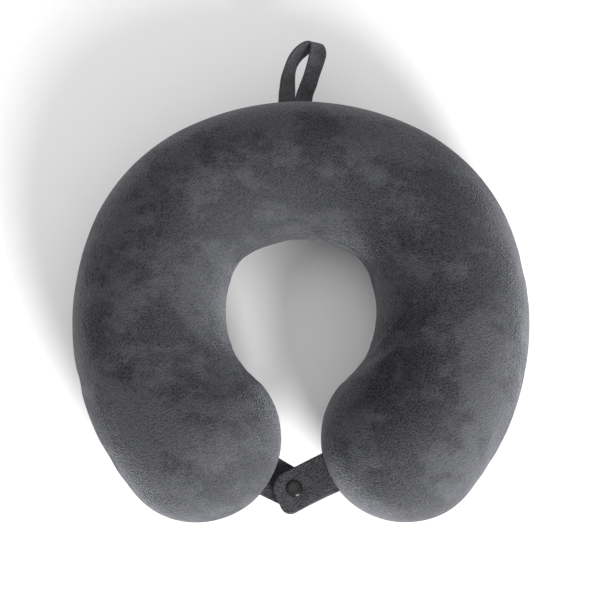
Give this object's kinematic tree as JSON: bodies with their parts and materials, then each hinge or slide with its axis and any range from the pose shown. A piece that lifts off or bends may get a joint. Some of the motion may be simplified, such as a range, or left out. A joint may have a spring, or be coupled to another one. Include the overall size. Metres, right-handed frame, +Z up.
{
  "type": "u shaped neck pillow",
  "caption": "U-shaped travel neck pillow: foam core in a zipped velour cover, with a hang loop at the back and press-stud tabs that close the mouth.",
  "frame": {"origin": "middle of the plan of the whole object, on the surface that the pillow lies on", "axes": "+Z up through the neck opening, +Y towards the back of the pillow and its hang loop, mouth of the U towards -Y"},
  "size_m": [0.2992, 0.3266, 0.1059],
  "materials": {
    "cover_velour": "short-pile velour",
    "loop_velour": "short-pile velour ribbon",
    "tab_velour": "short-pile velour, stitched edge",
    "memory_foam": "moulded open-cell foam",
    "liner_knit": "fine knit",
    "zip_tape": "woven tape",
    "zip_coil": "nylon coil",
    "zip_metal": "black lacquered zinc",
    "snap_plastic": "glossy acetal"
  },
  "bodies": {
    "pillow": {"foam_core": "memory_foam", "inner_liner": "liner_knit", "cover_top_panel": "cover_velour", "cover_bottom_panel": "cover_velour", "zip_tape_upper": "zip_tape", "zip_tape_lower": "zip_tape", "zip_coil_upper": "zip_coil", "zip_coil_lower": "zip_coil", "zip_closed_stop": "zip_metal", "zip_open_stop": "zip_metal"},
    "zip_slider": {"zip_slider": "zip_metal"},
    "zip_pull": {"zip_pull": "zip_metal"},
    "hang_loop": {"hang_loop": "loop_velour"},
    "right_tab": {"right_tab": "tab_velour", "snap_cap": "snap_plastic", "snap_socket": "snap_plastic"},
    "left_tab": {"left_tab": "tab_velour", "snap_stud": "snap_plastic", "stud_cap": "snap_plastic"}
  },
  "joints": [
    {"name": "zip_run", "type": "hinge", "parent": "pillow", "child": "zip_slider", "pos_m": [0.0269, -0.03046, 0.02483], "axis": [0, 0, 1], "range_deg": [0, 48.9]},
    {"name": "pull_swing", "type": "hinge", "parent": "zip_slider", "child": "zip_pull", "pos_m": [-0.14119, 0.01303, 0.02483], "axis": [-0.4275, 0.1106, 0.8972], "range_deg": [0, 175]},
    {"name": "loop_flex", "type": "hinge", "parent": "pillow", "child": "hang_loop", "pos_m": [0, 0.12027, 0.052], "axis": [1, 0, 0], "range_deg": [-75, 75], "stiffness_Nm_per_rad": 0.01},
    {"name": "right_tab_flap", "type": "hinge", "parent": "pillow", "child": "right_tab", "pos_m": [0.01617, -0.13257, 0.0547], "axis": [-0.4211, 0.907, 0], "range_deg": [0, 90], "stiffness_Nm_per_rad": 0.01},
    {"name": "left_tab_flap", "type": "hinge", "parent": "pillow", "child": "left_tab", "pos_m": [-0.01744, -0.13513, 0.0493], "axis": [-0.467, -0.8842, 0], "range_deg": [-90, 0], "stiffness_Nm_per_rad": 0.01}
  ]
}
